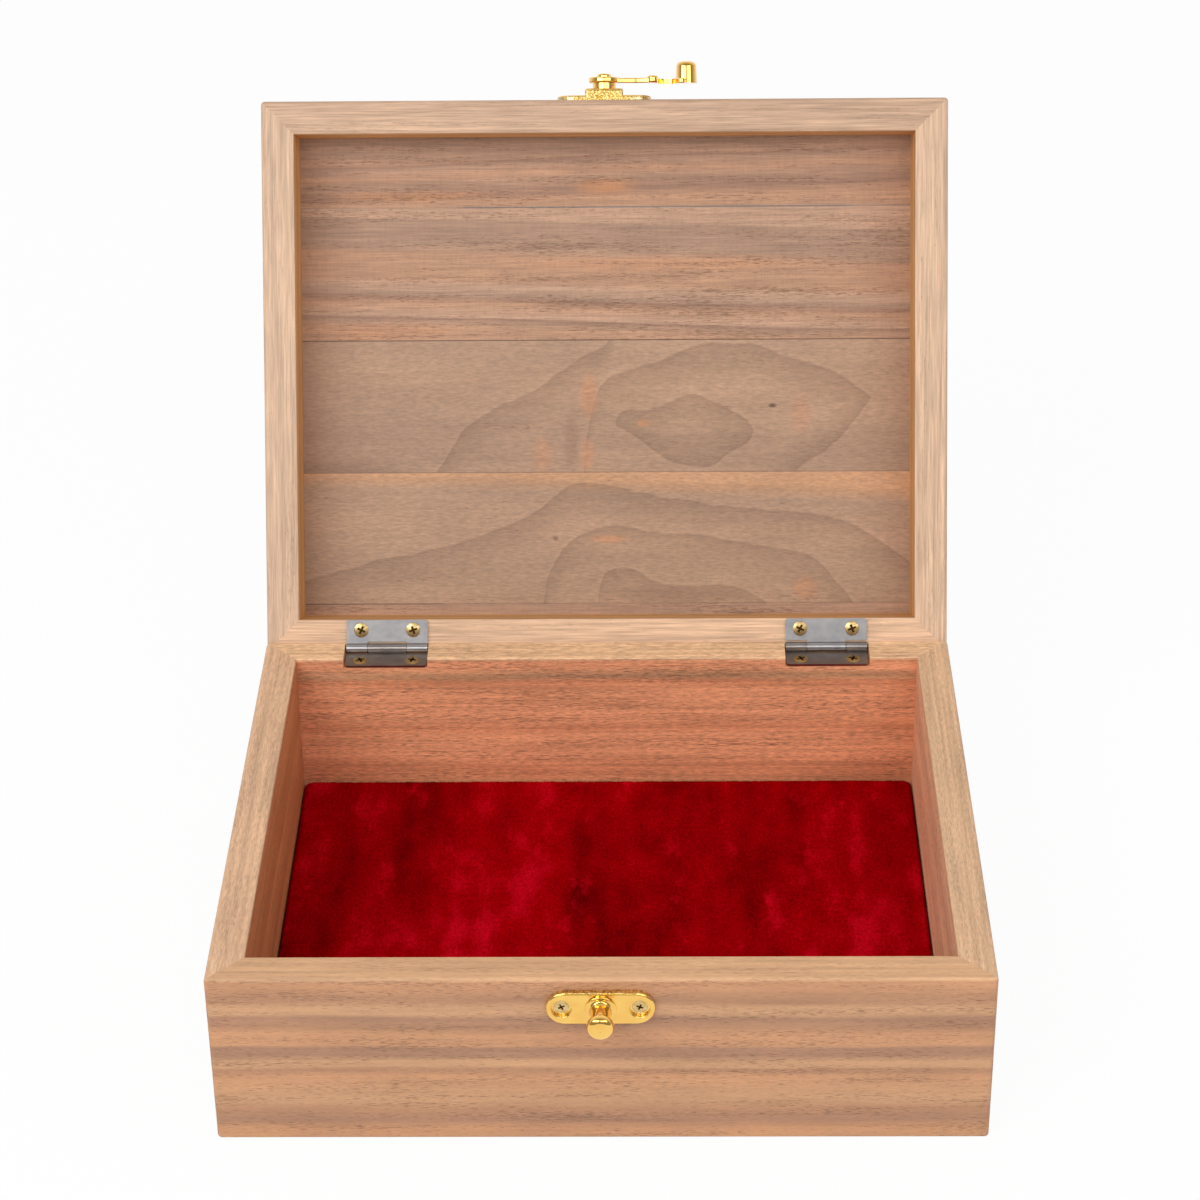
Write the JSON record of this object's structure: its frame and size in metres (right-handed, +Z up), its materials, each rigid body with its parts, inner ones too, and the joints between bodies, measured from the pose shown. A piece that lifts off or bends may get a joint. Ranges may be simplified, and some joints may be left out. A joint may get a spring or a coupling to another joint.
{
  "type": "hinged wooden box",
  "caption": "Mitred walnut box with a velvet-lined tray, a hinged lid that leans open on its own back edge, and a swing-hook latch.",
  "frame": {"origin": "middle of the underside of the base", "axes": "+X to the right seen from the latch, +Y to the hinges, +Z up"},
  "size_m": [0.21, 0.2803, 0.2069],
  "materials": {
    "base_walnut": "sanded, thin satin oil",
    "lid_walnut": "sanded, thin satin oil",
    "board_walnut": "sanded, thin satin oil, edge glued",
    "bottom_plywood": "sanded plywood",
    "lining_card": "grey board",
    "red_velvet": "short crushed pile",
    "hinge_steel": "rolled, lightly scratched",
    "brass_screw": "bright",
    "gilt_metal": "bright gold plating on a casting",
    "pale_screw": "pale plated"
  },
  "bodies": {
    "base": {"base_back_wall": "base_walnut", "base_front_wall": "base_walnut", "base_left_wall": "base_walnut", "base_right_wall": "base_walnut", "bottom_panel": "bottom_plywood", "catch_peg": "gilt_metal", "catch_plate": "gilt_metal", "catch_plate_screws": "pale_screw", "left_hinge_base_leaf": "hinge_steel", "left_hinge_base_screws": "brass_screw", "left_hinge_pin": "hinge_steel", "lining_board": "lining_card", "right_hinge_base_leaf": "hinge_steel", "right_hinge_base_screws": "brass_screw", "right_hinge_pin": "hinge_steel", "velvet_lining": "red_velvet"},
    "lid": {"hook_plate": "gilt_metal", "hook_plate_screws": "pale_screw", "hook_rivet": "gilt_metal", "left_hinge_lid_leaf": "hinge_steel", "left_hinge_lid_screws": "brass_screw", "lid_back_rail": "lid_walnut", "lid_board_1": "board_walnut", "lid_board_2": "board_walnut", "lid_board_3": "board_walnut", "lid_board_4": "board_walnut", "lid_board_5": "board_walnut", "lid_front_rail": "lid_walnut", "lid_left_rail": "lid_walnut", "lid_right_rail": "lid_walnut", "right_hinge_lid_leaf": "hinge_steel", "right_hinge_lid_screws": "brass_screw"},
    "hook": {"swing_hook": "gilt_metal"}
  },
  "joints": [
    {"name": "lid_hinge", "type": "hinge", "parent": "base", "child": "lid", "pos_m": [0, 0.0832, 0.05305], "axis": [1, 0, 0], "range_deg": [0, 117]},
    {"name": "hook_swing", "type": "hinge", "parent": "lid", "child": "hook", "pos_m": [0, 0.17042, 0.19682], "axis": [0, 0.454, 0.891], "range_deg": [-90, 235]}
  ]
}
